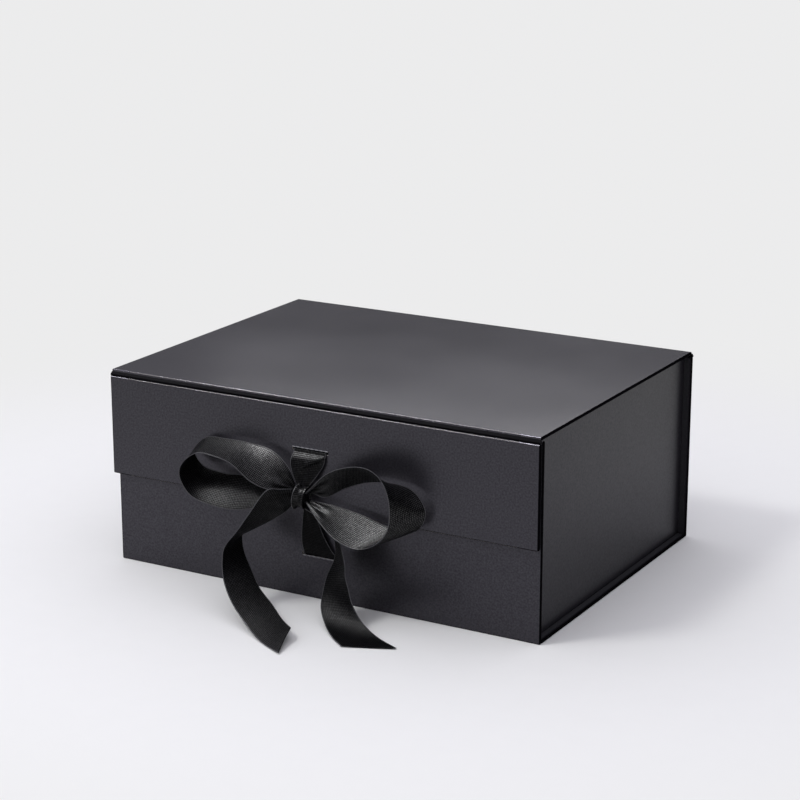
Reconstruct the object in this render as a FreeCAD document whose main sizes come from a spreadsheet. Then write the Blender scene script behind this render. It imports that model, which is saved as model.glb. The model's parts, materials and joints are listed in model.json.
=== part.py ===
import FreeCAD, Part
import Sketcher
import os

# A rigid gift box: wrapped greyboard panels hinged by their paper, tied with a satin ribbon bow.
# Millimetres, +X along the front to the right, +Y to the back, +Z up.
# The origin is the middle of the case, on the surface that it stands on.

SIZES = {
    # case
    "case_length": 330.0,
    "case_depth": 242.0,
    "case_height": 139.0,
    "board": 2.0,
    "paper": 0.15,
    "edge_round": 0.9,
    "turn_in": 15.0,
    "liner_margin": 2.0,
    # side walls, their corner tabs and the tape that holds the tabs
    "side_inset": 5.5,
    "wall_clearance": 0.1,
    "lid_clearance": 0.3,
    "tab_width": 26.0,
    "tab_margin": 6.0,
    "tab_taper": 9.0,
    "tab_thickness": 0.9,
    "tape_width": 14.0,
    "tape_margin": 5.0,
    "tape_thickness": 0.15,
    # lid, flap and their paper folds; the photographed lid sits a little to the left
    "lid_overhang": 1.0,
    "lid_shift": -2.0,
    "lid_lip": 0.6,
    "lid_relief": 0.1,
    "lid_fold_gap": 1.2,
    "flap_height": 70.5,
    "flap_fold_gap": 2.1,
    "flap_clearance": 0.35,
    "fold_clearance": 0.1,
    # magnets hidden in the flap and the front wall
    "magnet_diameter": 12.0,
    "magnet_thickness": 1.2,
    "magnet_spacing": 220.0,
    "magnet_rise": 16.0,
    "magnet_clearance": 0.1,
    # ribbon and the slots that it comes out of
    "ribbon_width": 25.0,
    "ribbon_thickness": 0.5,
    "ribbon_clearance": 0.3,
    "anchor_length": 26.0,
    "slot_length": 28.0,
    "slot_height": 2.4,
    "upper_slot_drop": 29.5,
    "upper_slot_shift": -3.0,
    "lower_slot_rise": 31.0,
    # bow
    "knot_width": 11.0,
    "knot_depth": 10.0,
    "knot_height": 16.0,
    "knot_bevel": 3.0,
    "knot_standoff": 7.3,
    "knot_rise": 12.0,
    "knot_offset": -5.0,
    "stub_end_width": 12.0,
}

# The bow's edges, chosen by hand: each station is one point of the edge nearer to the viewer and one of the
# edge nearer to the box. A loop's points are measured from the middle of the knot, +X right, +Y back, +Z up.
RIGHT_LOOP = [
    ((5.8, -4, 3), (5.8, 1, 3)),
    ((23, -8, 20), (19, -2, 2)),
    ((41, -13, 29), (33, 0, 10)),
    ((58, -16, 32), (48, 1, 16)),
    ((71, -19, 27), (62, 2, 18)),
    ((78, -21, 14), (81, 3, 16)),
    ((76, -19, -5), (93, 1, 4)),
    ((66, -17, -18), (87, 0, -10)),
    ((51, -17, -24), (67, 0, -11)),
    ((35, -17, -20), (45, 2, -7)),
    ((20, -13, -11), (24, 2, -4)),
    ((5.8, -4, -3), (5.8, 1, -3)),
]
LEFT_LOOP = [
    ((-5.8, -4, 4), (-5.8, 1, 4)),
    ((-18, -12, 4), (-11, 0, 18)),
    ((-31, -16, 9), (-25, 2, 27)),
    ((-44, -19, 20), (-45, 3, 29)),
    ((-57, -21, 24), (-63, 3, 29)),
    ((-70, -21, 24), (-77, 3, 28)),
    ((-82, -21, 15), (-87, 3, 20)),
    ((-85, -20, 4), (-88, 3, 14)),
    ((-78, -18, -8), (-80, 2, 7)),
    ((-63, -16, -13), (-63, 1, 5)),
    ((-45, -14, -14), (-46, 1, 6)),
    ((-25, -11, -9), (-27, 1, 4)),
    ((-5.8, -4, 0), (-5.8, 1, 0)),
]
# A tail's points give x and y from the knot and the height as a share of the knot's height over the floor.
LEFT_TAIL = [
    ((-5.8, -4.5, 1.05), (-5.8, -4, 0.94)),
    ((-10, -12, 1.075), (-7.5, -6, 0.88)),
    ((-16, -20, 1.08), (-11, -8, 0.83)),
    ((-25, -26, 0.88), (-25, -6, 0.71)),
    ((-32, -30, 0.72), (-40, -7, 0.59)),
    ((-40, -34, 0.56), (-42, -10, 0.56)),
    ((-39, -39, 0.45), (-38, -14, 0.45)),
    ((-34, -45, 0.32), (-29, -20, 0.34)),
    ((-23, -53, 0.18), (-16, -29, 0.22)),
    ((-6, -63, 0.08), (0, -39, 0.16)),
    ((14, -75, 0.015), (15, -50, 0.10)),
    ((35, -86, 0.015), (28, -60, 0.10)),
]
RIGHT_TAIL = [
    ((4.5, -4, 0.886), (1, 0, 0.886)),
    ((16, -4, 0.836), (10, 2, 0.842)),
    ((28, -6, 0.763), (20, 2.5, 0.737)),
    ((38, -13, 0.638), (25, 0.5, 0.592)),
    ((44, -19, 0.54), (26, -3, 0.47)),
    ((45, -20, 0.43), (24, -9, 0.34)),
    ((48, -21, 0.33), (25, -16, 0.22)),
    ((53, -24, 0.21), (29, -25, 0.13)),
    ((63, -29, 0.105), (38, -35, 0.05)),
    ((78, -35, 0.035), (50, -46, 0.015)),
    ((96, -42, 0.015), (63, -56, 0.015)),
]
STEPS_PER_STATION = 3

document = FreeCAD.newDocument("gift_box")
sheet = document.addObject("Spreadsheet::Sheet", "Sizes")
for row, (alias, value) in enumerate(SIZES.items(), start=1):
    sheet.set("A%d" % row, alias)
    sheet.set("B%d" % row, str(value))
    sheet.setAlias("B%d" % row, alias)
document.recompute()

# Sizes that follow from the driving ones.
PANEL = "(Sizes.board + 3 * Sizes.paper)"
BOARD_BEVEL = "(0.586 * (Sizes.edge_round - Sizes.paper))"
FRONT_HEIGHT = "(Sizes.case_height - %s - Sizes.lid_clearance)" % PANEL
SPINE_HEIGHT = "(Sizes.case_height - %s - Sizes.lid_fold_gap)" % PANEL
WALL_HEIGHT = "(%s - %s)" % (FRONT_HEIGHT, PANEL)
WALL_LENGTH = "(Sizes.case_depth - 2 * %s - 2 * Sizes.wall_clearance)" % PANEL
WALL_FACE = "(Sizes.case_length / 2 - Sizes.side_inset)"
BASE_WIDTH = "(Sizes.case_depth - 2 * %s)" % PANEL
LID_LENGTH = "(Sizes.case_length + 2 * Sizes.lid_overhang)"
LID_WIDTH = "(Sizes.case_depth + Sizes.lid_lip - Sizes.lid_relief)"
FLAP_BACK = "(-Sizes.case_depth / 2 - Sizes.flap_clearance)"
FLAP_FACE = "(%s - %s)" % (FLAP_BACK, PANEL)
FLAP_TOP = "(Sizes.case_height - %s - Sizes.flap_fold_gap)" % PANEL
FLAP_FOLD_RADIUS = "(Sizes.flap_fold_gap / 2 - Sizes.fold_clearance)"
LID_FOLD_RADIUS = "(Sizes.lid_fold_gap / 2 - Sizes.fold_clearance)"
UPPER_SLOT = "(Sizes.flap_height / 2 - Sizes.upper_slot_drop)"
LOWER_SLOT = "(Sizes.lower_slot_rise - %s / 2)" % FRONT_HEIGHT
MAGNET_ON_FLAP = "(Sizes.magnet_rise - Sizes.flap_height / 2)"
MAGNET_ON_FRONT = "(%s - Sizes.flap_height + Sizes.magnet_rise - %s / 2)" % (FLAP_TOP, FRONT_HEIGHT)
MAGNET_DEPTH = "(Sizes.magnet_thickness + Sizes.magnet_clearance)"
RECESS_DEPTH = "(Sizes.ribbon_thickness + Sizes.ribbon_clearance)"
RECESS_WIDTH = "(Sizes.ribbon_width + 2 * Sizes.ribbon_clearance)"
RECESS_LENGTH = "(Sizes.anchor_length + Sizes.slot_height)"
TAB_LENGTH = "(%s - 2 * Sizes.tab_margin)" % WALL_HEIGHT
TAPE_LENGTH = "(%s - 2 * Sizes.tab_taper - 2 * Sizes.tape_margin)" % TAB_LENGTH

X_AXIS = FreeCAD.Vector(1, 0, 0)
Y_AXIS = FreeCAD.Vector(0, 1, 0)
Z_AXIS = FreeCAD.Vector(0, 0, 1)


def turned(along, across, inward):
    """The turn that takes a panel's length, width and inward side to these directions."""
    return FreeCAD.Rotation(along, across, inward, "XYZ")


# A panel is drawn with its outer face on the XY plane and its inner side towards +Z.
FACES_DOWN = turned(X_AXIS, Y_AXIS, Z_AXIS)
FACES_UP = turned(X_AXIS, -Y_AXIS, -Z_AXIS)
FACES_FRONT = turned(-X_AXIS, Z_AXIS, Y_AXIS)
FACES_BACK = turned(X_AXIS, Z_AXIS, -Y_AXIS)
FACES_RIGHT = turned(-Y_AXIS, Z_AXIS, -X_AXIS)
FACES_LEFT = turned(Y_AXIS, Z_AXIS, X_AXIS)
LIES_ALONG_X = turned(Y_AXIS, Z_AXIS, X_AXIS)

nodes = []


def worked_out(expression):
    """The number that an expression of sizes gives."""
    return float(sheet.evalExpression(expression))


def bind(item, **expressions):
    """Ties properties to expressions; two underscores stand for a dot."""
    for name, expression in expressions.items():
        item.setExpression(name.replace("__", "."), expression)


def keep(item, label, turn=None, place=None):
    """Names a finished sub-part and puts it in its place."""
    item.Label = label
    if turn is not None:
        item.Placement = FreeCAD.Placement(FreeCAD.Vector(), turn)
    if place is not None:
        bind(item, Placement__Base__x=place[0], Placement__Base__y=place[1], Placement__Base__z=place[2])
    nodes.append(item)
    return item


def block(name, length, width, height, x="0", y="0", z="0"):
    """A box with its middle at x, y and its lower face at z."""
    item = document.addObject("Part::Box", name)
    bind(item, Length=length, Width=width, Height=height)
    bind(item, Placement__Base__x="%s - %s / 2" % (x, length))
    bind(item, Placement__Base__y="%s - %s / 2" % (y, width))
    bind(item, Placement__Base__z=z)
    return item


def eased(kind, name, square, amount):
    """A block with all its edges rounded or bevelled by an amount."""
    document.recompute()
    item = document.addObject(kind, name)
    item.Base = square
    value = worked_out(amount)
    item.Edges = [(edge, value, value) for edge in range(1, len(square.Shape.Edges) + 1)]
    return item


def joined(name, items):
    item = document.addObject("Part::MultiFuse", name)
    item.Shapes = items
    item.Refine = True
    return item


def cut_from(name, base, tools):
    item = document.addObject("Part::Cut", name)
    item.Base = base
    item.Tool = joined(name + "_tools", tools)
    return item


def sketch_on(body, name, height):
    """A sketch parallel to the body's XY plane, at a height."""
    sketch = body.newObject("Sketcher::SketchObject", name)
    plane = next(feature for feature in body.Origin.OriginFeatures if feature.Role == "XY_Plane")
    sketch.AttachmentSupport = [(plane, "")]
    sketch.MapMode = "FlatFace"
    bind(sketch, AttachmentOffset__Base__z=height)
    return sketch


def hold(sketch, kind, geometry, point, expression):
    """Ties one coordinate of a sketch point, or a circle's diameter, to an expression."""
    value = worked_out(expression)
    if kind == "Diameter":
        constraint = Sketcher.Constraint(kind, geometry, value)
    else:
        constraint = Sketcher.Constraint(kind, -1, 1, geometry, point, value)
    index = sketch.addConstraint(constraint)
    sketch.setExpression("Constraints[%d]" % index, expression)


def draw_outline(sketch, corners):
    """A closed outline whose corners are tied to expressions for x and y."""
    first = sketch.GeometryCount
    count = len(corners)
    places = [FreeCAD.Vector(worked_out(x), worked_out(y), 0) for x, y in corners]
    for i in range(count):
        sketch.addGeometry(Part.LineSegment(places[i], places[(i + 1) % count]), False)
    for i in range(count):
        following = first + (i + 1) % count
        sketch.addConstraint(Sketcher.Constraint("Coincident", first + i, 2, following, 1))
    for i, (x, y) in enumerate(corners):
        hold(sketch, "DistanceX", first + i, 1, x)
        hold(sketch, "DistanceY", first + i, 1, y)


def draw_circle(sketch, diameter, x, y):
    middle = FreeCAD.Vector(worked_out(x), worked_out(y), 0)
    index = sketch.addGeometry(Part.Circle(middle, Z_AXIS, worked_out(diameter) / 2), False)
    hold(sketch, "Diameter", index, 0, diameter)
    hold(sketch, "DistanceX", index, 3, x)
    hold(sketch, "DistanceY", index, 3, y)


def rectangle(length, width, x="0", y="0"):
    """The corners of a rectangle about x, y."""
    left, right = ("(%s %s %s / 2)" % (x, sign, length) for sign in "-+")
    low, high = ("(%s %s %s / 2)" % (y, sign, width) for sign in "-+")
    return [(left, low), (right, low), (right, high), (left, high)]


def pad(body, sketch, thickness):
    feature = body.newObject("PartDesign::Pad", sketch.Name + "_pad")
    feature.Profile = sketch
    bind(feature, Length=thickness)
    document.recompute()
    return feature


def pocket(body, sketch, depth, upward):
    """Cuts a sketch into the body; the volume has to shrink."""
    before = body.Shape.Volume
    feature = body.newObject("PartDesign::Pocket", sketch.Name + "_pocket")
    feature.Profile = sketch
    feature.Reversed = upward
    bind(feature, Length=depth)
    document.recompute()
    if not body.Shape.Volume < before:
        raise RuntimeError("%s cuts nothing" % sketch.Name)


def make_board(name, length, width):
    """The greyboard core of a panel, one paper inside its outline."""
    body = document.addObject("PartDesign::Body", name + "_board_body")
    sketch = sketch_on(body, name + "_board_outline", "Sizes.paper")
    draw_outline(sketch, rectangle("(%s - 2 * Sizes.paper)" % length, "(%s - 2 * Sizes.paper)" % width))
    core = pad(body, sketch, "Sizes.board")
    worn = body.newObject("PartDesign::Chamfer", name + "_board_worn_edges")
    worn.Base = (core, ["Edge%d" % edge for edge in range(1, len(core.Shape.Edges) + 1)])
    bind(worn, Size=BOARD_BEVEL)
    document.recompute()
    return body


def add_ribbon_slot(body, name, slot, shift, direction):
    """A slot through the board, and a shallow bed on its inner face for the glued end of the ribbon."""
    through = sketch_on(body, name + "_slot", "Sizes.paper")
    draw_outline(through, rectangle("Sizes.slot_length", "Sizes.slot_height", shift, slot))
    pocket(body, through, "Sizes.board", True)
    bed_middle = "(%s %s %s / 2)" % (slot, direction, RECESS_LENGTH)
    bed = sketch_on(body, name + "_bed", "(Sizes.paper + Sizes.board)")
    draw_outline(bed, rectangle(RECESS_WIDTH, RECESS_LENGTH, shift, bed_middle))
    pocket(body, bed, RECESS_DEPTH, False)


def add_magnet_seats(body, name, rise, on_inner_face):
    """Two round seats, cut from the inner or the outer face of the board."""
    height = "(Sizes.paper + Sizes.board)" if on_inner_face else "Sizes.paper"
    seats = sketch_on(body, name + "_magnet_seats", height)
    diameter = "(Sizes.magnet_diameter + 2 * Sizes.magnet_clearance)"
    for x in ("(-Sizes.magnet_spacing / 2)", "(Sizes.magnet_spacing / 2)"):
        draw_circle(seats, diameter, x, rise)
    pocket(body, seats, MAGNET_DEPTH, not on_inner_face)


def make_wrap(name, length, width, slot=None, shift="0"):
    """The outer paper: round all four edges, and turned in over two ends of the inner side."""
    thickness = "(Sizes.board + 2 * Sizes.paper)"
    inner_length = "(%s - 2 * Sizes.paper)" % length
    inner_width = "(%s - 2 * Sizes.paper)" % width
    window_length = "(%s - 2 * Sizes.turn_in)" % length
    square = block(name + "_wrap_square", length, width, thickness)
    outer = eased("Part::Fillet", name + "_wrap_outer", square, "Sizes.edge_round")
    room = block(name + "_wrap_room", inner_length, inner_width, "Sizes.board", z="Sizes.paper")
    core = eased("Part::Chamfer", name + "_wrap_core", room, BOARD_BEVEL)
    window = block(name + "_wrap_window", window_length, inner_width, thickness, z="Sizes.paper")
    tools = [core, window]
    if slot:
        through = block(name + "_wrap_slot", "Sizes.slot_length", "Sizes.slot_height", thickness,
                        x=shift, y=slot)
        tools.append(through)
    return cut_from(name + "_wrap_cut", outer, tools)


def make_liner(name, length, width):
    """The inner paper: on the board between the turn-ins, and over the turn-ins up to its margin."""
    bed_length = "(%s - 2 * Sizes.turn_in)" % length
    sheet_length = "(%s - 2 * Sizes.liner_margin)" % length
    sheet_width = "(%s - 2 * Sizes.liner_margin)" % width
    on_board = "(Sizes.board + Sizes.paper)"
    on_turn_in = "(Sizes.board + 2 * Sizes.paper)"
    middle = block(name + "_liner_middle", bed_length, sheet_width, "(2 * Sizes.paper)", z=on_board)
    over = block(name + "_liner_over", sheet_length, sheet_width, "Sizes.paper", z=on_turn_in)
    return joined(name + "_liner_joined", [middle, over])


def make_panel(name, length, width, turn, place, slot=None, shift="0", direction="+", magnets=None,
               inner_seats=True):
    """One wrapped panel: board, outer paper and liner."""
    board = make_board(name, length, width)
    if slot:
        add_ribbon_slot(board, name, slot, shift, direction)
    if magnets:
        add_magnet_seats(board, name, magnets, inner_seats)
    keep(board, name + "_board", turn, place)
    keep(make_wrap(name, length, width, slot, shift), name + "_wrap", turn, place)
    keep(make_liner(name, length, width), name + "_liner", turn, place)


def make_magnets(label, turn, place, rise, depth):
    """A pair of discs at one depth in a panel."""
    discs = []
    for side in ("-", "+"):
        disc = document.addObject("Part::Cylinder", label + "_disc")
        bind(disc, Radius="Sizes.magnet_diameter / 2", Height="Sizes.magnet_thickness")
        bind(disc, Placement__Base__x="%sSizes.magnet_spacing / 2" % side)
        bind(disc, Placement__Base__y=rise, Placement__Base__z=depth)
        discs.append(disc)
    pair = document.addObject("Part::Compound", label + "_pair")
    pair.Links = discs
    keep(pair, label, turn, place)


def make_tab(label, turn, place):
    """A corner tab: a plate with slanted ends whose long side is folded from the side wall."""
    body = document.addObject("PartDesign::Body", label + "_body")
    outline = sketch_on(body, label + "_outline", "0")
    half = "(%s / 2)" % TAB_LENGTH
    short = "(%s - Sizes.tab_taper)" % half
    corners = [
        ("Sizes.wall_clearance", "(-%s)" % half),
        ("Sizes.tab_width", "(-%s)" % short),
        ("Sizes.tab_width", short),
        ("Sizes.wall_clearance", half),
    ]
    draw_outline(outline, corners)
    pad(body, outline, "Sizes.tab_thickness")
    keep(body, label, turn, place)


def make_fold(label, radius, length, place):
    """The rounded paper fold on a hinge line."""
    fold = document.addObject("Part::Cylinder", label + "_round")
    bind(fold, Radius=radius, Height=length)
    keep(fold, label, LIES_ALONG_X, place)


def between(start, end, share):
    return start + (end - start) * share


def smooth(points):
    """Points on a smooth curve through the given ones, evenly divided between stations."""
    padded = [points[0] * 2 - points[1]] + points + [points[-1] * 2 - points[-2]]
    curve = []
    for i in range(1, len(padded) - 2):
        a, b, c, d = padded[i - 1:i + 3]
        for step in range(STEPS_PER_STATION):
            share = step / STEPS_PER_STATION
            bend = (a * 2 - b * 5 + c * 4 - d) * share ** 2 + (b * 3 - a - c * 3 + d) * share ** 3
            curve.append(b + ((c - a) * share + bend) * 0.5)
    return curve + [points[-1]]


def ribbon_solid(first_edge, second_edge):
    """A strip of ribbon between two edges: thin sections square to its run, joined by flat facets."""
    thickness = worked_out("Sizes.ribbon_thickness")
    last = len(first_edge) - 1
    sections = []
    for i, (one, two) in enumerate(zip(first_edge, second_edge)):
        before, after = max(i - 1, 0), min(i + 1, last)
        run = first_edge[after] + second_edge[after] - first_edge[before] - second_edge[before]
        half = run.cross(two - one).normalize() * (thickness / 2)
        sections.append([one - half, two - half, two + half, one + half])
    facets = [sections[0][::-1], sections[last]]
    for near, far in zip(sections, sections[1:]):
        for side in range(4):
            following = (side + 1) % 4
            # the creases of both faces run the same way, so a twisted step keeps its thickness
            if side < 2:
                facets.append([near[side], near[following], far[following]])
                facets.append([near[side], far[following], far[side]])
            else:
                facets.append([near[side], near[following], far[side]])
                facets.append([near[following], far[following], far[side]])
    faces = [Part.Face(Part.makePolygon(facet + facet[:1])) for facet in facets]
    solid = Part.makeSolid(Part.makeShell(faces))
    return solid if solid.Volume > 0 else solid.reversed()


def keep_shape(label, shape):
    feature = document.addObject("Part::Feature", label + "_shape")
    feature.Shape = shape
    feature.Placement = FreeCAD.Placement()
    keep(feature, label)


def make_bow_strip(label, stations, knot, heights_from_knot):
    """A loop or tail of the bow from its stations."""
    edges = []
    for side in (0, 1):
        points = []
        for station in stations:
            x, y, z = station[side]
            height = knot.z + z if heights_from_knot else knot.z * z
            points.append(FreeCAD.Vector(knot.x + x, knot.y + y, height))
        edges.append(smooth(points))
    keep_shape(label, ribbon_solid(edges[0], edges[1]))


def make_threaded_ribbon(label, middle, bed_y, face_y, slot_z, upward, end, end_width):
    """A ribbon glued inside a panel, led out through its slot and on to the knot."""
    half = worked_out("Sizes.ribbon_width") / 2
    gap = worked_out("Sizes.ribbon_clearance")
    thickness = worked_out("Sizes.ribbon_thickness")
    reach = worked_out("Sizes.anchor_length")
    sign = 1 if upward else -1
    outside = face_y - gap - thickness / 2
    path = [
        (bed_y, slot_z - sign * reach, half),
        (bed_y, slot_z - sign * thickness, half),
        (bed_y - thickness, slot_z, half),
        (outside + thickness, slot_z, half),
        (outside, slot_z + sign * thickness, half),
    ]
    edges = []
    for side in (-1, 1):
        edge = [FreeCAD.Vector(middle + side * width, y, z) for y, z, width in path]
        start = edge[-1]
        finish = FreeCAD.Vector(end.x + side * end_width / 2, end.y, end.z)
        for share in (0.25, 0.5, 0.75, 1.0):
            point = between(start, finish, share)
            # the narrowing is quick near the slot and slow near the knot, and the ribbon leaves the face late
            point.y = start.y + (finish.y - start.y) * share ** 2
            edge.append(point)
        edges.append(edge)
    keep_shape(label, ribbon_solid(edges[0], edges[1]))


# Panels of the fixed tray.
make_panel("base", "Sizes.case_length", BASE_WIDTH, FACES_DOWN, ("0", "0", "0"))
FRONT_PLACE = ("0", "-Sizes.case_depth / 2", FRONT_HEIGHT + " / 2")
make_panel("front", "Sizes.case_length", FRONT_HEIGHT, FACES_FRONT, FRONT_PLACE,
           slot=LOWER_SLOT, direction="-", magnets=MAGNET_ON_FRONT, inner_seats=False)
make_panel("spine", "Sizes.case_length", SPINE_HEIGHT, FACES_BACK,
           ("0", "Sizes.case_depth / 2", SPINE_HEIGHT + " / 2"))
WALL_MIDDLE = "%s + %s / 2" % (PANEL, WALL_HEIGHT)
make_panel("left_wall", WALL_LENGTH, WALL_HEIGHT, FACES_LEFT, ("-" + WALL_FACE, "0", WALL_MIDDLE))
make_panel("right_wall", WALL_LENGTH, WALL_HEIGHT, FACES_RIGHT, (WALL_FACE, "0", WALL_MIDDLE))

# Corner tabs and the tape behind them.
TAB_ROOT = "(%s - %s)" % (WALL_FACE, PANEL)
TAB_DEPTH = "(Sizes.case_depth / 2 - %s - Sizes.tape_thickness)" % PANEL
TAB_BACK = "(%s - Sizes.tab_thickness)" % TAB_DEPTH
TURNED_LEFT = turned(-X_AXIS, Z_AXIS, Y_AXIS)
TURNED_RIGHT = turned(X_AXIS, Z_AXIS, -Y_AXIS)
make_tab("left_front_tab", TURNED_RIGHT, ("-" + TAB_ROOT, "-" + TAB_BACK, WALL_MIDDLE))
make_tab("left_back_tab", TURNED_RIGHT, ("-" + TAB_ROOT, TAB_DEPTH, WALL_MIDDLE))
make_tab("right_front_tab", TURNED_LEFT, (TAB_ROOT, "-" + TAB_DEPTH, WALL_MIDDLE))
make_tab("right_back_tab", TURNED_LEFT, (TAB_ROOT, TAB_BACK, WALL_MIDDLE))
TAPE_X = "(%s - Sizes.tab_width / 2)" % TAB_ROOT
TAPE_Y = "(%s + Sizes.tape_thickness / 2)" % TAB_DEPTH
TAPE_Z = "(%s - %s / 2)" % (WALL_MIDDLE, TAPE_LENGTH)
strips = []
for x_side in ("-", ""):
    for y_side in ("-", ""):
        strips.append(block("tape_strip", "Sizes.tape_width", "Sizes.tape_thickness", TAPE_LENGTH,
                            x=x_side + TAPE_X, y=y_side + TAPE_Y, z=TAPE_Z))
tapes = document.addObject("Part::Compound", "tape_strips")
tapes.Links = strips
keep(tapes, "corner_tapes")

# Lid and flap, with the folds that they turn on.
LID_PLACE = ("Sizes.lid_shift", "-(Sizes.lid_lip + Sizes.lid_relief) / 2", "Sizes.case_height")
make_panel("lid", LID_LENGTH, LID_WIDTH, FACES_UP, LID_PLACE)
FLAP_PLACE = ("Sizes.lid_shift", FLAP_FACE, "%s - Sizes.flap_height / 2" % FLAP_TOP)
make_panel("flap", LID_LENGTH, "Sizes.flap_height", FACES_FRONT, FLAP_PLACE,
           slot=UPPER_SLOT, shift="(-Sizes.upper_slot_shift)", direction="+", magnets=MAGNET_ON_FLAP)
make_fold("lid_fold", LID_FOLD_RADIUS, "Sizes.case_length",
          ("-Sizes.case_length / 2", "Sizes.case_depth / 2", "%s + Sizes.lid_fold_gap / 2" % SPINE_HEIGHT))
make_fold("flap_fold", FLAP_FOLD_RADIUS, LID_LENGTH,
          ("Sizes.lid_shift - %s / 2" % LID_LENGTH, "%s - %s" % (FLAP_BACK, FLAP_FOLD_RADIUS),
           "%s + Sizes.flap_fold_gap / 2" % FLAP_TOP))

# Magnets, seated against the bottoms of their seats.
make_magnets("front_magnets", FACES_FRONT, FRONT_PLACE, MAGNET_ON_FRONT,
             "Sizes.paper + Sizes.magnet_clearance")
make_magnets("flap_magnets", FACES_FRONT, FLAP_PLACE, MAGNET_ON_FLAP,
             "Sizes.paper + Sizes.board - %s" % MAGNET_DEPTH)

# The knot, in front of the flap's lower edge.
knot = FreeCAD.Vector(
    worked_out("Sizes.lid_shift + Sizes.knot_offset"),
    worked_out("%s - Sizes.knot_standoff" % FLAP_FACE),
    worked_out("%s - Sizes.flap_height + Sizes.knot_rise" % FLAP_TOP),
)
lump = block("knot_lump", "Sizes.knot_width", "Sizes.knot_depth", "Sizes.knot_height",
             x="Sizes.lid_shift + Sizes.knot_offset",
             y="(%s - Sizes.knot_standoff)" % FLAP_FACE,
             z="%s - Sizes.flap_height + Sizes.knot_rise - Sizes.knot_height / 2" % FLAP_TOP)
keep(eased("Part::Chamfer", "knot_bevelled", lump, "Sizes.knot_bevel"), "bow_knot")

# The ribbon's glued ends, its loops and its tails.
INNER_BED = "Sizes.paper + Sizes.board - %s / 2" % RECESS_DEPTH
knot_half = worked_out("Sizes.knot_height / 2 + Sizes.ribbon_clearance")
make_threaded_ribbon(
    "upper_ribbon", worked_out("Sizes.lid_shift + Sizes.upper_slot_shift"),
    worked_out("%s + %s" % (FLAP_FACE, INNER_BED)), worked_out(FLAP_FACE),
    worked_out("%s - Sizes.upper_slot_drop" % FLAP_TOP), False,
    knot + FreeCAD.Vector(0, 0, knot_half), worked_out("Sizes.stub_end_width"))
make_threaded_ribbon(
    "lower_ribbon", 0.0, worked_out("-Sizes.case_depth / 2 + %s" % INNER_BED),
    worked_out("-Sizes.case_depth / 2"), worked_out("Sizes.lower_slot_rise"), True,
    FreeCAD.Vector(knot.x, worked_out(FLAP_FACE),
                   worked_out("%s - Sizes.flap_height - 2 * Sizes.ribbon_clearance" % FLAP_TOP)),
    worked_out("Sizes.stub_end_width"))
make_bow_strip("bow_left_loop", LEFT_LOOP, knot, True)
make_bow_strip("bow_right_loop", RIGHT_LOOP, knot, True)
make_bow_strip("bow_left_tail", LEFT_TAIL, knot, False)
make_bow_strip("bow_right_tail", RIGHT_TAIL, knot, False)

# Nothing is written unless every object is sound.
document.recompute()
for item in document.Objects:
    if "Invalid" in item.State or "Error" in item.State:
        raise RuntimeError("%s is %s" % (item.Label, item.State))
for node in nodes:
    if node.Shape.isNull() or not node.Shape.isValid() or not node.Shape.Solids:
        raise RuntimeError("%s has no sound shape" % node.Label)

os.makedirs("parts", exist_ok=True)
for node in nodes:
    node.Shape.exportStep("parts/%s.step" % node.Label)
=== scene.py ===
import json
import math
import bpy
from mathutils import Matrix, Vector

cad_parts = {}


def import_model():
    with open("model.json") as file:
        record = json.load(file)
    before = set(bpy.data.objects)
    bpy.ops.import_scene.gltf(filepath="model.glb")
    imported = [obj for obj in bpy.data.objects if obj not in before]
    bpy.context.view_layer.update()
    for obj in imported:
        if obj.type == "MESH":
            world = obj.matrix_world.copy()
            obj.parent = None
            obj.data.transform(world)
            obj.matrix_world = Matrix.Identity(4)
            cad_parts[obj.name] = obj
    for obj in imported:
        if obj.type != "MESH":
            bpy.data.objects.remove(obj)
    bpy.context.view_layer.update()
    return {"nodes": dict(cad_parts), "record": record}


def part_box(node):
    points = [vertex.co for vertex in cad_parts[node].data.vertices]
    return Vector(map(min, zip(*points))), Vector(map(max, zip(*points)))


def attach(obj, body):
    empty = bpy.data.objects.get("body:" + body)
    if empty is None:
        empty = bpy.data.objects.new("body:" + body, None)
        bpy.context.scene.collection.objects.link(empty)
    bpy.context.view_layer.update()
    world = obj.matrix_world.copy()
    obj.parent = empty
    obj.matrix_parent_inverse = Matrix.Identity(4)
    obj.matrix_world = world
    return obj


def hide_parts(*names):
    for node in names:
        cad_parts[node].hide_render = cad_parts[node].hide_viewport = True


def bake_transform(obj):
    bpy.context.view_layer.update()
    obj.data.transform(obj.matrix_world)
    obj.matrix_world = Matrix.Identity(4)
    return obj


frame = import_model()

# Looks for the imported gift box: paper and ribbon materials, a soft bow, a studio and the photo's camera.
# Lengths are metres in the part's own frame: +X right along the front, +Y back, +Z up.

MM = 0.001

# The photo's camera.
CAMERA_PLACE = Vector((0.7429, -1.3150, 0.5411))
CAMERA_AIM = Vector((-0.00717, 0.0, 0.108985))
CAMERA_LENS = 99.94
SENSOR_WIDTH = 36.0

# Ribbon. Its weave is laid out in millimetres on the flat ribbon.
RIBBON_WIDTH_MM = 25.0
RIBBON_WIDTH = RIBBON_WIDTH_MM * MM
RIBBON_THICKNESS = 0.35 * MM
WEAVE_PITCH = 2.4
PAINTED_EDGE_HIGHLIGHT_WIDTH = 0.5
STEPS_ALONG = 14
STEPS_ACROSS = 28
# Pleats are full up to the first distance from the knot, and fade over the second.
PLEATS_REACH = 12 * MM
PLEATS_FADE = 18 * MM

# The ribbon's glued ends and their slots. The slot's half height is in millimetres.
GLUED_LENGTH = 26 * MM
GLUED_DEPTH = 1.75 * MM
SLOT_HALF_WIDTH = 13.8 * MM
SLOT_HALF_HEIGHT = 1.25

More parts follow.
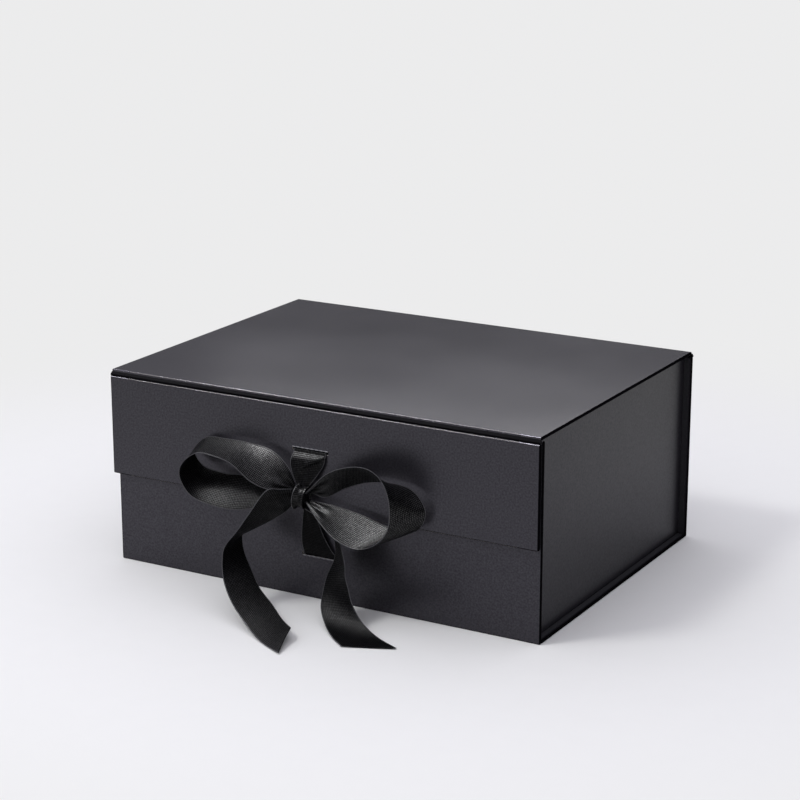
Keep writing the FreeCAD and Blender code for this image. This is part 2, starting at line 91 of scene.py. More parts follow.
# The upper end's crease, and how deep the knot's turn is hollowed.
UPPER_FOLD_HEIGHT = 2.2 * MM
HOLLOW_DEPTH = 0.9 * MM

# The knot's turn and core, in millimetres. Both sit below the middle of the CAD knot by the drop.
KNOT_DROP = 1.5
KNOT_CORE_HALF = (4.6, 3.6, 5.6)
# An edge of the turn: its place along x, how far it stands forward, half its depth and half its height.
TURN_LEFT = (-4.4, 0.8, 5.6, 7.8)
TURN_RIGHT = (3.6, 0.2, 5.0, 6.6)
TURN_LEAN = 1.2
TURN_STEPS = 16

# How far the paper over the lid's fold goes past the lid's right end, and that over the flap's stops short.
LID_FOLD_PAST = 0.6 * MM
FLAP_FOLD_SHORT = 0.1 * MM

# Limits on the parts of a panel's normal: between flat and rounded, and for its ends and lower sides, which
# take painted shade, with a painted highlight line under the ends.
EDGE_LEAST = 0.15
EDGE_MOST = 0.97
PAINTED_SHADE_END_LEAST = 0.1
PAINTED_SHADE_LOWER_MOST = -0.15
PAINTED_HIGHLIGHT_UNDER_MOST = -0.65

# Studio.
FLOOR_SIZE = 400.0
FLOOR_GLOW = (0.838, 0.838, 0.842, 1.0)
GLOW_START = 0.30
GLOW_FULL = 0.66
SKY_COLOUR = (0.60, 0.592, 0.65, 1.0)
SKY_TOP = (-0.28, 0.0, 0.96)


def middle_of(node):
    """The middle of a node's box."""
    low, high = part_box(node)
    return (low + high) / 2


KNOT = middle_of("bow_knot")

# The bow's edges. Each station has a point of the edge nearer to the viewer and one of the
# edge nearer to the box, in millimetres from the middle of the knot.
RIGHT_LOOP = [
    ((5.0, -4, 3), (5.0, 1, 3)),
    ((23, -8, 20), (19, -2, 2)),
    ((41, -13, 29), (33, 0, 10)),
    ((58, -16, 32), (48, 1, 16)),
    ((71, -19, 27), (62, 2, 18)),
    ((78, -21, 14), (81, 3, 16)),
    ((76, -19, -5), (93, 1, 4)),
    ((66, -17, -18), (87, 0, -10)),
    ((51, -17, -24), (67, 0, -11)),
    ((35, -17, -20), (45, 2, -7)),
    ((20, -13, -11), (24, 2, -4)),
    ((5.0, -4, -3), (5.0, 1, -3)),
]
LEFT_LOOP = [
    ((-5.0, -4, 4), (-5.0, 1, 4)),
    ((-18, -12, 4), (-11, 0, 18)),
    ((-31, -16, 9), (-25, 2, 27)),
    ((-44, -19, 20), (-45, 3, 29)),
    ((-57, -21, 24), (-63, 3, 29)),
    ((-70, -21, 24), (-77, 3, 28)),
    ((-82, -21, 15), (-87, 3, 20)),
    ((-85, -20, 4), (-88, 3, 14)),
    ((-78, -18, -8), (-80, 2, 7)),
    ((-63, -16, -13), (-63, 1, 5)),
    ((-45, -14, -14), (-46, 1, 6)),
    ((-25, -11, -9), (-27, 1, 4)),
    ((-5.0, -4, 0), (-5.0, 1, 0)),
]
LEFT_TAIL = [
    ((-4.5, -5, 5), (-4.5, -4.5, -5.5)),
    ((-10, -12, 6), (-7, -6, -9)),
    ((-16, -20, 6), (-11, -8, -13)),
    ((-25, -26, -9), (-25, -6, -22)),
    ((-32, -30, -21), (-40, -7, -31)),
    ((-40, -34, -33), (-42, -10, -33)),
    ((-39, -39, -42), (-38, -14, -42)),
    ((-34, -45, -52), (-29, -20, -50)),
    ((-23, -53, -62), (-16, -29, -59)),
    ((-6, -63, -70), (0, -39, -64)),
    ((14, -75, -74.8), (15, -50, -68)),
    ((35, -86, -74.8), (28, -60, -68)),
]
RIGHT_TAIL = [
    ((4.5, -4, -8), (1, 0, -8)),
    ((16, -4, -12.5), (10, 2, -12)),
    ((28, -6, -18), (20, 2.5, -20)),
    ((38, -13, -27.5), (25, 0.5, -31)),
    ((44, -19, -35), (26, -3, -40)),
    ((45, -20, -43), (24, -9, -50)),
    ((48, -21, -51), (25, -16, -59)),
    ((53, -24, -60), (29, -25, -66)),
    ((63, -29, -68), (38, -35, -72)),
    ((78, -35, -73.3), (50, -46, -74.8)),
    ((96, -42, -74.8), (63, -56, -74.8)),
]
# The ribbon's two glued ends outside their slots, from slot to knot: left edge, then right edge.
UPPER_END = [
    ((-10.5, 6.6, 26.5), (14.5, 6.6, 26.5)),
    ((-10.8, 4.6, 20), (13.6, 5.2, 21)),
    ((-8, 2.6, 13), (10, 3.4, 14.5)),
    ((-4, 0, 6), (5, 1.0, 7)),
]
LOWER_END = [
    ((-5.5, 9.4, -42.5), (19.5, 9.4, -42.5)),
    ((-5.9, 8, -37), (17, 8, -38)),
    ((-5.2, 7, -28), (12, 7, -29)),
    ((-4, 6.3, -19), (8, 6.3, -19)),
    ((-3, 6, -12.5), (5, 6, -12.5)),
]
# The outer paper across the two folds, as y and z in millimetres, from the fixed panel to the moving one.
LID_FOLD_SECTION = [
    (121.04, 134.2), (121.2, 134.9), (121.64, 135.6), (121.64, 136.3), (121.2, 137.0), (120.94, 137.6),
]
FLAP_FOLD_SECTION = [
    (-121.64, 137.4), (-122.4, 136.7), (-123.15, 136.2), (-123.38, 135.5), (-123.2, 134.8), (-122.85, 134.4),
]


# Node materials

class Nodes:
    """A node tree with a short way to add and join nodes."""

    def __init__(self, tree):
        self.tree = tree

    def feed(self, socket, value):
        """Join a node's output to a socket, or set the socket's own value."""
        if isinstance(value, bpy.types.NodeSocket):
            self.tree.links.new(value, socket)
        else:
            socket.default_value = value

    def add(self, kind, values=None, **settings):
        node = self.tree.nodes.new("ShaderNode" + kind)
        for name, value in settings.items():
            setattr(node, name, value)
        for name, value in (values or {}).items():
            self.feed(node.inputs[name], value)
        return node

    def math(self, operation, first, second=0.0, third=0.0):
        node = self.add("Math", {0: first, 1: second, 2: third}, operation=operation)
        return node.outputs[0]

    def ramp(self, value, low, high, start, end):
        """A smooth step from start to end while value goes from low to high."""
        node = self.add("MapRange", {0: value, 1: low, 2: high, 3: start, 4: end},
                        interpolation_type="SMOOTHSTEP")
        return node.outputs[0]

    def without(self, mask, value):
        """The value where the mask is 0, and nothing where it is 1."""
        return self.math("MULTIPLY", value, self.math("SUBTRACT", 1.0, mask))

    def blend(self, share, first, second):
        """A mix of two colours."""
        node = self.add("Mix", {"Factor": share}, data_type="RGBA")
        for name, value in (("A", first), ("B", second)):
            target = next(s for s in node.inputs if s.name == name and s.type == "RGBA")
            if not isinstance(value, bpy.types.NodeSocket):
                value = (*value, 1.0)
            self.feed(target, value)
        return next(s for s in node.outputs if s.type == "RGBA")

    def noise(self, scale, detail=2.0, stretch=None):
        place = self.add("TexCoord").outputs["Object"]
        if stretch:
            place = self.add("Mapping", {"Vector": place, "Scale": stretch}).outputs[0]
        return self.add("TexNoise", {"Vector": place, "Scale": scale, "Detail": detail}).outputs[0]


class Shader(Nodes):
    """A new material and its nodes."""

    def __init__(self, name):
        self.material = bpy.data.materials.new(name)
        self.material.use_nodes = True
        super().__init__(self.material.node_tree)
        self.main = self.tree.nodes["Principled BSDF"]
        self.output = self.tree.nodes["Material Output"]

    def set(self, name, value):
        self.feed(self.main.inputs[name], value)


def scaled(colour, share):
    return [channel * share for channel in colour]


def paper(name, colour, rubbed, roughness, grain, edge=0.5 * MM, thin=None, gloss=0.32):
    """Coated paper over board: fine grain, uneven handling marks and slightly rubbed, shinier edges.
    thin is the axis across a panel. Its rounded edges shine more, apart from lower ones, which are painted
    dark as painted shade. The left and right ends of panels that aren't side walls are painted dark as
    painted shade, with a painted highlight line under them."""
    shader = Shader(name)
    fine = shader.noise(grain, 3.0)
    broad = shader.noise(9.0, 3.0)
    rounded = shader.add("Bevel", {"Radius": edge}, samples=6).outputs[0]
    flat = shader.add("NewGeometry").outputs["Normal"]
    facing = shader.add("VectorMath", {0: rounded, 1: flat}, operation="DOT_PRODUCT").outputs["Value"]
    bent = shader.math("MULTIPLY", shader.math("SUBTRACT", 1.0, facing), 6.0)
    corner = shader.math("MINIMUM", bent, 1.0)
    worn = shader.math("MULTIPLY", corner, shader.math("MULTIPLY", fine, 0.5))
    # The colour of the painted shade on panel ends and lower rounded edges.
    dark = scaled(colour, 0.25)
    body = shader.blend(broad, colour, scaled(colour, 1.35))
    body = shader.blend(shader.math("MULTIPLY", fine, 0.35), body, scaled(colour, 0.3))
    specular = shader.math("MULTIPLY_ADD", corner, 0.5, gloss)
    rough = shader.math("MULTIPLY_ADD", broad, 0.10, roughness - 0.05)
    if thin:
        normal = shader.add("SeparateXYZ", {0: shader.add("TexCoord").outputs["Normal"]}).outputs
        level = shader.math("ABSOLUTE", normal[thin])
        leaning = shader.math("GREATER_THAN", level, EDGE_LEAST)
        turned = shader.math("MULTIPLY", leaning, shader.math("LESS_THAN", level, EDGE_MOST))
        specular = shader.math("MULTIPLY_ADD", turned, 0.7, specular)
        rough = shader.math("MULTIPLY_ADD", turned, -0.08, rough)
        # Lower rounded edges are painted dark and lose their shine: painted shade.
        lower = shader.math("MULTIPLY", turned, shader.math("LESS_THAN", normal["Z"], PAINTED_SHADE_LOWER_MOST))
        body = shader.blend(lower, body, dark)
        specular = shader.without(lower, specular)
    if thin in ("Y", "Z"):
        # Panel ends are painted dark and lose their shine: painted shade.
        end = shader.math("GREATER_THAN", shader.math("ABSOLUTE", normal["X"]), PAINTED_SHADE_END_LEAST)
        # The light line under the panel ends is a painted highlight.
        under = shader.math("MULTIPLY", end, shader.math("LESS_THAN", normal["Z"], PAINTED_HIGHLIGHT_UNDER_MOST))
        body = shader.blend(end, body, dark)
        body = shader.blend(under, body, (0.13, 0.13, 0.135))
        specular = shader.without(end, specular)
    grain_shine = shader.math("MULTIPLY_ADD", fine, 1.6, 0.2)
    shader.set("Base Color", shader.blend(worn, body, rubbed))
    shader.set("Roughness", shader.math("MULTIPLY_ADD", corner, -0.10, rough))
    shader.set("Specular IOR Level", shader.math("MULTIPLY", specular, grain_shine))
    shader.set("Specular Tint", (0.91, 0.88, 1.0, 1.0))
    bump = shader.add("Bump", {"Height": fine, "Normal": rounded, "Strength": 0.04, "Distance": 0.1 * MM})
    shader.set("Normal", bump.outputs[0])
    return shader.material


def greyboard():
    """Raw grey recycled board with fibres and dark specks."""
    shader = Shader("greyboard")
    fibre = shader.noise(900.0, 4.0, (1.0, 0.2, 1.0))
    specks = shader.math("GREATER_THAN", shader.noise(1600.0, 1.0), 0.68)
    body = shader.blend(fibre, (0.30, 0.28, 0.25), (0.42, 0.40, 0.36))
    shader.set("Base Color", shader.blend(specks, body, (0.12, 0.11, 0.10)))
    shader.set("Roughness", 0.92)
    bump = shader.add("Bump", {"Height": fibre, "Strength": 0.3, "Distance": 0.1 * MM})
    shader.set("Normal", bump.outputs[0])
    return shader.material


def nickel():
    """Plated magnet discs with a fine turned grain."""
    shader = Shader("nickel")
    grain = shader.noise(700.0, 2.0, (1.0, 1.0, 12.0))
    shader.set("Base Color", shader.blend(grain, (0.55, 0.54, 0.51), (0.70, 0.69, 0.66)))
    shader.set("Metallic", 1.0)
    shader.set("Roughness", shader.math("MULTIPLY_ADD", grain, 0.2, 0.2))
    return shader.material


def tape():
    """Double-sided tape: pale film with a slightly cloudy glue."""
    shader = Shader("tape")
    cloud = shader.noise(160.0, 3.0)
    shader.set("Base Color", shader.blend(cloud, (0.62, 0.60, 0.55), (0.80, 0.79, 0.75)))
    shader.set("Roughness", shader.math("MULTIPLY_ADD", cloud, 0.25, 0.25))
    return shader.material


def satin(name, shine):
    """Black satin ribbon: an uneven weave that breaks up its sheen, and a painted highlight along both
    edges.
    """
    shader = Shader(name)
    where = shader.add("UVMap", uv_map="ribbon").outputs[0]
    parts = shader.add("SeparateXYZ", {0: where})
    across, along = parts.outputs[0], parts.outputs[1]
    turn = 2 * math.pi / WEAVE_PITCH
    slub = shader.add("TexNoise", {"Vector": where, "Scale": 1.3, "Detail": 3.0}).outputs[0]
    drift = shader.math("MULTIPLY", slub, 6.0)
    rising = shader.math("MULTIPLY_ADD", shader.math("ADD", across, along), turn, drift)
    falling = shader.math("MULTIPLY", shader.math("SUBTRACT", along, across), turn)
    both = shader.math("MULTIPLY", shader.math("SINE", rising), shader.math("SINE", falling))
    weave = shader.math("MULTIPLY_ADD", both, 0.5, 0.5)
    thread = shader.math("MULTIPLY", shader.math("POWER", weave, 2.8), shader.math("MULTIPLY", slub, 1.6))
    half = RIBBON_WIDTH_MM / 2
    from_middle = shader.math("ABSOLUTE", shader.math("SUBTRACT", across, half))
    # The lighter colour along both edges is a painted highlight.
    painted_edge_highlight = shader.math("GREATER_THAN", from_middle, half - PAINTED_EDGE_HIGHLIGHT_WIDTH)
    body = shader.blend(thread, (0.0015, 0.0015, 0.0018), (0.012, 0.012, 0.013))
    shader.set("Base Color", shader.blend(painted_edge_highlight, body, (0.075, 0.075, 0.08)))
    rough = shader.math("MULTIPLY_ADD", slub, 0.12, 0.28)
    shader.set("Roughness", shader.math("MULTIPLY_ADD", painted_edge_highlight, 0.15, rough))
    shader.set("Specular IOR Level", shader.math("MULTIPLY_ADD", thread, 0.65 * shine, 0.02))
    shader.set("Anisotropic", 0.5)
    tangent = shader.add("Tangent", direction_type="UV_MAP", uv_map="ribbon")
    shader.set("Tangent", tangent.outputs[0])
    height = shader.math("ADD", weave, slub)
    bump = shader.add("Bump", {"Height": height, "Strength": 0.5, "Distance": 0.15 * MM})
    shader.set("Normal", bump.outputs[0])
    return shader.material


OUTER_COLOUR = (0.0118, 0.0111, 0.0138)
OUTER_RUBBED = (0.06, 0.06, 0.064)
# The axis across each kind of panel, with its paper's gloss and roughness. It is one paper: gloss and
# roughness differ per kind of panel only so that faces come out darker or brighter, as painted light and
# shade.
OUTER_SHINE = {
    "wall": ("X", 0.17, 0.34),
    "front": ("Y", 0.54, 0.34),
    "lid": ("Z", 0.60, 0.19),
    "base": ("Z", 0.06, 0.34),
}
OUTER = {}
for kind, (axis, gloss, roughness) in OUTER_SHINE.items():
    OUTER[kind] = paper("outer_paper_" + kind, OUTER_COLOUR, OUTER_RUBBED, roughness, grain=800.0,
                        edge=0.1 * MM, thin=axis, gloss=gloss)
# The outer paper in the two folds, painted near black: painted shade in the hinge grooves.
FOLD_PAINTED_SHADE = paper("fold_paper_painted_shade", (0.002, 0.002, 0.0024), (0.004, 0.004, 0.0045),
             roughness=0.5, grain=1500.0, gloss=0.02)
LINER = paper("liner_paper", (0.022, 0.022, 0.024), (0.05, 0.05, 0.053),
              roughness=0.62, grain=1100.0, edge=0.1 * MM)
CARD = paper("tab_card", (0.020, 0.020, 0.022), (0.06, 0.06, 0.063),
             roughness=0.55, grain=1200.0, edge=0.2 * MM)
TORN = paper("torn_paper", (0.22, 0.22, 0.23), (0.4, 0.4, 0.41),
             roughness=0.7, grain=2500.0, edge=0.05 * MM)
# Three copies of one satin. On the loops and the left tail the half copy is the duller back of the satin.
# Where the half and shade copies cover both sides of a piece, they only make it darker: painted shade.
SATIN = satin("satin_face", shine=1.9)
SATIN_DULL_BACK_AND_PAINTED_SHADE = satin("satin_dull_back_and_painted_shade", shine=0.9)
SATIN_PAINTED_SHADE = satin("satin_painted_shade", shine=0.25)

# The panels have their own gloss copies of the paper, so the outer paper here is that of the two folds:
# a copy painted near black, as painted shade in the grooves.
LOOKS = {
    "outer_paper": FOLD_PAINTED_SHADE,
    "liner_paper": LINER,
    "tab_card": CARD,
    "greyboard": greyboard(),
    "magnet": nickel(),
    "tape": tape(),
    "ribbon": SATIN,
}
PANEL_KIND = {
    "left_wall_wrap": "wall",
    "right_wall_wrap": "wall",
    "front_wrap": "front",
    "spine_wrap": "front",
    "flap_wrap": "front",
    "base_wrap": "base",
    "lid_wrap": "lid",
}
for entry in frame["record"]["subparts"]:
    node = entry["node"]
    look = LOOKS[entry["material_slot"]]
    if node in PANEL_KIND:
        look = OUTER[PANEL_KIND[node]]
    mesh = frame["nodes"][node].data
    mesh.materials.clear()
    mesh.materials.append(look)


# Shapes

def smooth(points, steps):
    """A smooth curve through the points."""
    padded = [points[0] * 2 - points[1], *points, points[-1] * 2 - points[-2]]
    curve = []
    for a, b, c, d in zip(padded, padded[1:], padded[2:], padded[3:]):
        for step in range(steps):
            t = step / steps
            bend = (a * 2 - b * 5 + c * 4 - d) * t ** 2 + (b * 3 - a - c * 3 + d) * t ** 3
            curve.append(b + ((c - a) * t + bend) * 0.5)
    return [*curve, points[-1]]


def ease(value):
    """A smooth step from 0 to 1."""
    value = min(max(value, 0.0), 1.0)
    return value * value * (3 - 2 * value)


def grid_faces(rows, columns):
    """The faces between rows of points, each with one point more than its columns."""
    faces = []
    row = columns + 1
    for i in range(rows):
        for j in range(columns):
            a = i * row + j
            faces.append((a, a + 1, a + row + 1, a + row))
    return faces


def new_piece(name, points, faces, looks):
    mesh = bpy.data.meshes.new(name)
    mesh.from_pydata(points, [], faces)
    for look in looks:
        mesh.materials.append(look)
    piece = bpy.data.objects.new(name, mesh)
    bpy.context.scene.collection.objects.link(piece)
    return piece


# Ribbon pieces

def satin_piece(name, points, faces, marks, sides):
    """A smooth satin piece; marks give each point's place on the flat ribbon, in millimetres."""
    piece = new_piece(name, points, faces, sides)
    layer = piece.data.uv_layers.new(name="ribbon")
    for loop in piece.data.loops:
        layer.data[loop.index].uv = marks[loop.vertex_index]
    piece.data.shade_smooth()
    return piece


def no_shape(run, across):
    return 0.0


def from_knot(stations):
    return [tuple(KNOT + Vector(point) * MM for point in station) for station in stations]


def ribbon(name, body, node, stations, shape=no_shape, folds=2.0, phase=0.0, cup=0.5 * MM,
           pleat_limit=1.1 * MM, sides=(SATIN, SATIN), doubled=0.0):
    """A satin strip through its stations, gathered into pleats where its edges come close together.
    doubled folds it in two along its length and is the distance between its two layers."""
    near = smooth([Vector(station[0]) for station in stations], STEPS_ALONG)
    far = smooth([Vector(station[1]) for station in stations], STEPS_ALONG)
    last = len(near) - 1
    length = 0.0
    points, marks = [], []
    for i in range(last + 1):
        before, after = max(i - 1, 0), min(i + 1, last)
        run = near[after] + far[after] - near[before] - far[before]
        chord = far[i] - near[i]
        face = run.cross(chord).normalized()
        if i:
            length += ((near[i] + far[i]) - (near[i - 1] + far[i - 1])).length / 2
        spare = max(RIBBON_WIDTH / chord.length, 1.0)
        height = chord.length / (2 * math.pi * folds) * math.sqrt(2 * (spare ** 2 - 1))
        away = ((near[i] + far[i]) / 2 - KNOT).length
        height = min(height, pleat_limit) * (1 - ease((away - PLEATS_REACH) / PLEATS_FADE))
        for j in range(STEPS_ACROSS + 1):
            v = j / STEPS_ACROSS
            across = 1 - abs(2 * v - 1) if doubled else v
            wave = math.sin(2 * math.pi * folds * across + phase)
            pleat = height * wave * math.sin(math.pi * across) ** 0.5
            lift = pleat + cup * math.sin(math.pi * across) + shape(i / last, across)
            lift += doubled * ease((v - 0.5) / 0.1)
            points.append(near[i] + chord * across + face * lift)
            marks.append((v * RIBBON_WIDTH_MM, length / MM))
    piece = satin_piece(name, points, grid_faces(last, STEPS_ACROSS), marks, sides)
    thick = piece.modifiers.new("thickness", "SOLIDIFY")
    thick.material_offset = 1
    thick.thickness = RIBBON_THICKNESS
    thick.offset = 0.0
    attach(piece, body)
    if node:
        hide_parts(node)
    return piece, length


def threaded(middle, face_y, slot_z, sign, outside):
    """Stations of a ribbon end: glued inside, out through its slot and on to the knot."""
    half = RIBBON_WIDTH / 2
    bed_y = face_y + GLUED_DEPTH
    path = [
        (bed_y, slot_z - sign * GLUED_LENGTH),
        (bed_y, slot_z - sign * GLUED_LENGTH * 0.3),
        (bed_y - 0.3 * MM, slot_z - sign * 0.4 * MM),
        ((bed_y + face_y) / 2, slot_z),
        (face_y - 0.4 * MM, slot_z + sign * 0.3 * MM),
    ]
    inside = [(Vector((middle - half, y, z)), Vector((middle + half, y, z))) for y, z in path]
    return inside + from_knot(outside)


def knot_turn():
    """Stations of the turn of ribbon around the crossing, seen with its left edge forward."""
    stations = []
    for step in range(TURN_STEPS + 1):
        turn = 2 * math.pi * step / TURN_STEPS + math.pi * 0.5
        up, out = math.sin(turn), math.cos(turn)
        station = []
        for x, forward, depth, height in (TURN_LEFT, TURN_RIGHT):
            station.append(Vector((x + TURN_LEAN * up, -depth * out - forward, height * up - KNOT_DROP)))
        stations.append(station)
    return stations


def knot_hollow(run, across):
    """The turn's edges stand up and its middle sinks in."""
    return -HOLLOW_DEPTH * math.cos(2 * math.pi * across)


def upper_fold(run, across):
    """The left part of the upper end stands forward of a slanting crease."""
    forward = ease((run - 0.58) / 0.15) * (1 - ease((run - 0.85) / 0.15))
    crease = 0.95 - 0.8 * ease((run - 0.6) / 0.3)
    return UPPER_FOLD_HEIGHT * forward * (1 - ease((across - crease) / 0.2))


def knot_core():
    """The gathered ribbon inside the knot."""
    rows, columns = 24, 48
    half = Vector(KNOT_CORE_HALF) * MM
    points, marks, faces = [], [], []
    for i in range(rows + 1):
        tilt = -math.pi / 2 + math.pi * i / rows
        for j in range(columns):
            turn = 2 * math.pi * j / columns
            size = 1.0 + 0.08 * math.sin(5 * turn + 2.2 * tilt) * math.cos(tilt)
            place = Vector((half.x * math.cos(tilt) * math.cos(turn) * size,
                            half.y * math.cos(tilt) * math.sin(turn) * size,
                            half.z * math.sin(tilt) - KNOT_DROP * MM))
            points.append(KNOT + place)
            marks.append((3 + 3 * turn, 12 * tilt))
    for i in range(rows):
        for j in range(columns):
            k = (j + 1) % columns
            below, above = i * columns, (i + 1) * columns
            faces.append((below + j, below + k, above + k, above + j))
    piece = satin_piece("bow_knot_core", points, faces, marks, (SATIN_PAINTED_SHADE,))
    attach(piece, "flap")
    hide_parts("bow_knot")


FLAP_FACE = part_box("flap_wrap")[0].y
FRONT_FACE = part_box("front_wrap")[0].y
UPPER_SLOT_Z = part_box("upper_ribbon")[1].z - GLUED_LENGTH
LOWER_SLOT_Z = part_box("lower_ribbon")[0].z + GLUED_LENGTH
UPPER_MIDDLE = middle_of("upper_ribbon").x
LOWER_MIDDLE = middle_of("front_wrap").x

pieces = [
    ribbon("bow_left_loop_satin", "flap", "bow_left_loop", from_knot(LEFT_LOOP), phase=0.6,
           sides=(SATIN, SATIN_DULL_BACK_AND_PAINTED_SHADE)),
    ribbon("bow_right_loop_satin", "flap", "bow_right_loop", from_knot(RIGHT_LOOP), phase=2.1),
    ribbon("bow_left_tail_satin", "flap", "bow_left_tail", from_knot(LEFT_TAIL), folds=1.5, phase=0.3,
           sides=(SATIN, SATIN_DULL_BACK_AND_PAINTED_SHADE)),
    ribbon("bow_right_tail_satin", "flap", "bow_right_tail", from_knot(RIGHT_TAIL), folds=1.5, phase=1.2,
           sides=(SATIN_PAINTED_SHADE, SATIN_PAINTED_SHADE)),
    ribbon("upper_ribbon_satin", "flap", "upper_ribbon",
           threaded(UPPER_MIDDLE, FLAP_FACE, UPPER_SLOT_Z, -1, UPPER_END),
           shape=upper_fold, cup=0.0, folds=1.5, phase=2.6, pleat_limit=0.8 * MM, sides=(SATIN_DULL_BACK_AND_PAINTED_SHADE, SATIN_DULL_BACK_AND_PAINTED_SHADE)),
    ribbon("lower_ribbon_satin", "tray", "lower_ribbon",
           threaded(LOWER_MIDDLE, FRONT_FACE, LOWER_SLOT_Z, 1, LOWER_END),
           cup=0.0, folds=1.0, phase=1.0, pleat_limit=0.8 * MM, sides=(SATIN_PAINTED_SHADE, SATIN_PAINTED_SHADE)),
]
# The two ends are glued to their boards. The lower one stops short of the knot, so that the flap can open.
# The turn around the knot is the ribbon folded in two along its length.
turn, turn_length = ribbon("bow_knot_turn", "flap", None, from_knot(knot_turn()), shape=knot_hollow,
                           folds=1.0, cup=0.0, pleat_limit=0.3 * MM, doubled=0.8 * MM)
knot_core()


# Paper at the slots and folds

def cut_edge(name, body, low, high, face_y, wander):
    """The raised, slightly torn paper along one edge of a slot."""
    count = 60
    points = []
    for i in range(count + 1):
        share = i / count
        line = low.lerp(high, share)
        rough = math.sin(share * 47 + wander) + 0.6 * math.sin(share * 113 + 2 * wander)
        height = (0.34 + 0.14 * rough) * MM
        rise = max(0.08, 0.28 + 0.16 * math.sin(share * 71 + wander)) * MM
        points.append(Vector((line.x, face_y + 0.02 * MM, line.z - height)))
        points.append(Vector((line.x, face_y - rise, line.z + 0.1 * height)))
        points.append(Vector((line.x, face_y + 0.02 * MM, line.z + height)))
    faces = [(a, d, c, b) for a, b, c, d in grid_faces(count, 2)]
    piece = new_piece(name, points, faces, (TORN,))
    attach(piece, body)


slot_half = Vector((SLOT_HALF_WIDTH, 0, 0))
for name, body, x, z, face_y, edge in (
    ("upper_slot_edge", "flap", UPPER_MIDDLE, UPPER_SLOT_Z, FLAP_FACE, SLOT_HALF_HEIGHT),
    ("lower_slot_edge", "tray", LOWER_MIDDLE, LOWER_SLOT_Z, FRONT_FACE, -SLOT_HALF_HEIGHT),
):
    middle = Vector((x, face_y, z + edge * MM))
    cut_edge(name, body, middle - slot_half, middle + slot_half, face_y, edge)


def hinge_paper(name, left, right, section, look):
    """The outer paper where it crosses a fold: a curved strip along the hinge, from one panel to the other.
    """
    columns = 40
    curve = smooth([Vector((0, y, z)) * MM for y, z in section], 4)
    points = []
    for i in range(columns + 1):
        along = Vector((left + (right - left) * i / columns, 0, 0))
        points += [point + along for point in curve]
    piece = new_piece(name, points, grid_faces(columns, len(curve) - 1), (look,))
    piece.data.shade_smooth()
    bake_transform(piece)


lid_low, lid_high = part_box("lid_wrap")
spine_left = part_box("spine_wrap")[0].x
hinge_paper("lid_hinge_paper", spine_left, lid_high.x + LID_FOLD_PAST,
            LID_FOLD_SECTION, OUTER["lid"])
# The flap's strip takes the fold paper with its painted shade.
hinge_paper("flap_hinge_paper", lid_low.x + FLAP_FOLD_SHORT, lid_high.x - FLAP_FOLD_SHORT,
            FLAP_FOLD_SECTION, FOLD_PAINTED_SHADE)


# Studio

def floor():
    """A pale floor that takes the shadow near the box and glows evenly further out."""
    shader = Shader("studio_floor")
    speck = shader.noise(60.0, 2.0)
    shader.set("Base Color", shader.blend(speck, (0.875, 0.88, 0.855), (0.89, 0.895, 0.87)))
    shader.set("Roughness", 0.9)
    shader.set("Specular IOR Level", 0.0)
    glow = shader.add("Emission", {"Color": FLOOR_GLOW, "Strength": 1.0})
    place = shader.add("NewGeometry").outputs["Position"]
    distance = shader.add("VectorMath", {0: place}, operation="LENGTH").outputs["Value"]
    share = shader.ramp(distance, low=GLOW_START, high=GLOW_FULL, start=0.0, end=1.0)
    mix = shader.add("MixShader", {0: share, 1: shader.main.outputs[0], 2: glow.outputs[0]})
    shader.feed(shader.output.inputs["Surface"], mix.outputs[0])
    bpy.ops.mesh.primitive_plane_add(size=FLOOR_SIZE, location=(0, 0, 0))
    plane = bpy.context.object
    plane.name = "studio_floor"
    plane.data.materials.append(shader.material)


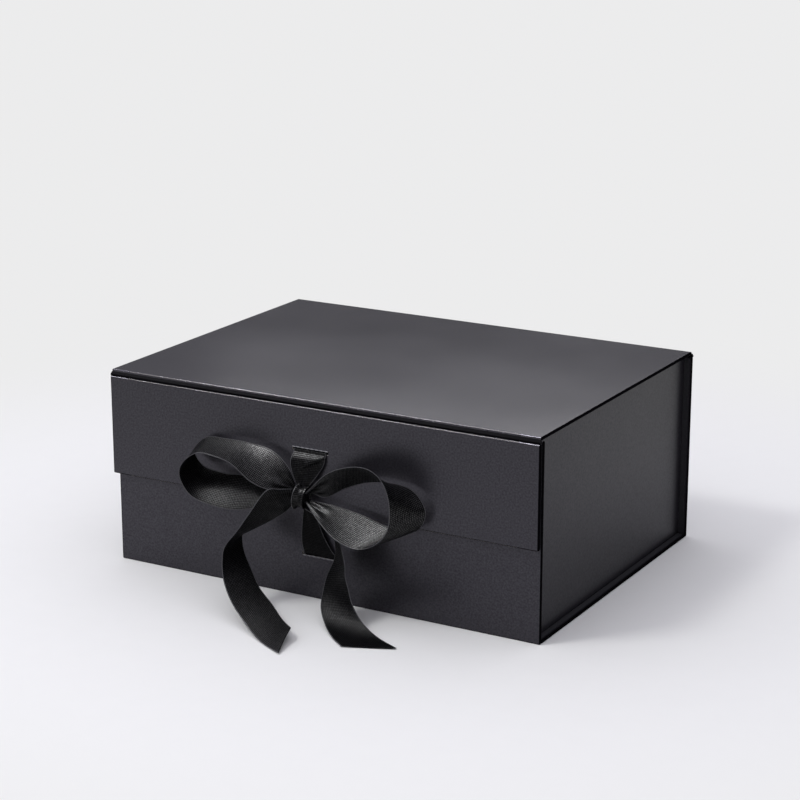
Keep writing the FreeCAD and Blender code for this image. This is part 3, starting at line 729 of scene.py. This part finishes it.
def world():
    """A pale room, brightest overhead and to the left and dark along the horizon."""
    sky = bpy.data.worlds.new("studio")
    sky.use_nodes = True
    nodes = Nodes(sky.node_tree)
    place = nodes.add("TexCoord").outputs["Generated"]
    towards = nodes.add("VectorMath", {0: place, 1: SKY_TOP}, operation="DOT_PRODUCT").outputs["Value"]
    overhead = nodes.ramp(towards, low=0.0, high=0.9, start=0.34, end=1.78)
    height = nodes.add("SeparateXYZ", {0: place}).outputs["Z"]
    horizon = nodes.ramp(height, low=0.21, high=0.36, start=0.05, end=1.0)
    background = sky.node_tree.nodes["Background"]
    nodes.feed(background.inputs["Strength"], nodes.math("MULTIPLY", overhead, horizon))
    nodes.feed(background.inputs["Color"], SKY_COLOUR)
    bpy.context.scene.world = sky


def turned_to(place, aim):
    return (Vector(aim) - Vector(place)).to_track_quat("-Z", "Y").to_euler()


def softbox(name, place, aim, width, height, power, shine_only=False):
    """A rectangular lamp; one for shine only shows in reflections and doesn't light matt surfaces."""
    light = bpy.data.lights.new(name, "AREA")
    light.shape = "RECTANGLE"
    light.size = width
    light.size_y = height
    light.energy = power
    lamp = bpy.data.objects.new(name, light)
    lamp.visible_diffuse = not shine_only
    lamp.location = place
    lamp.rotation_euler = turned_to(place, aim)
    bpy.context.scene.collection.objects.link(lamp)


def camera():
    view = bpy.data.cameras.new("photo_camera")
    view.sensor_width = SENSOR_WIDTH
    view.lens = CAMERA_LENS
    view.clip_start = 0.05
    eye = bpy.data.objects.new("photo_camera", view)
    eye.location = CAMERA_PLACE
    eye.rotation_euler = turned_to(CAMERA_PLACE, CAMERA_AIM)
    bpy.context.scene.collection.objects.link(eye)
    bpy.context.scene.camera = eye


floor()
world()
KEY_PLACE = (-0.85, -1.12, 2.00)
KEY_AIM = (0, 0, 0.05)
softbox("key", KEY_PLACE, KEY_AIM, width=0.5, height=0.5, power=13.5)
softbox("glint", KEY_PLACE, KEY_AIM, width=0.35, height=0.35, power=20.0, shine_only=True)
softbox("edge", (-0.81, -0.44, 1.44), (0, -0.1, 0.13), width=0.90, height=0.12, power=20.0, shine_only=True)
softbox("sheen", (-0.85, 1.75, 0.98), (0, 0, 0.139), width=0.9, height=0.2, power=1.5, shine_only=True)
camera()
bpy.context.scene.view_settings.view_transform = "Standard"
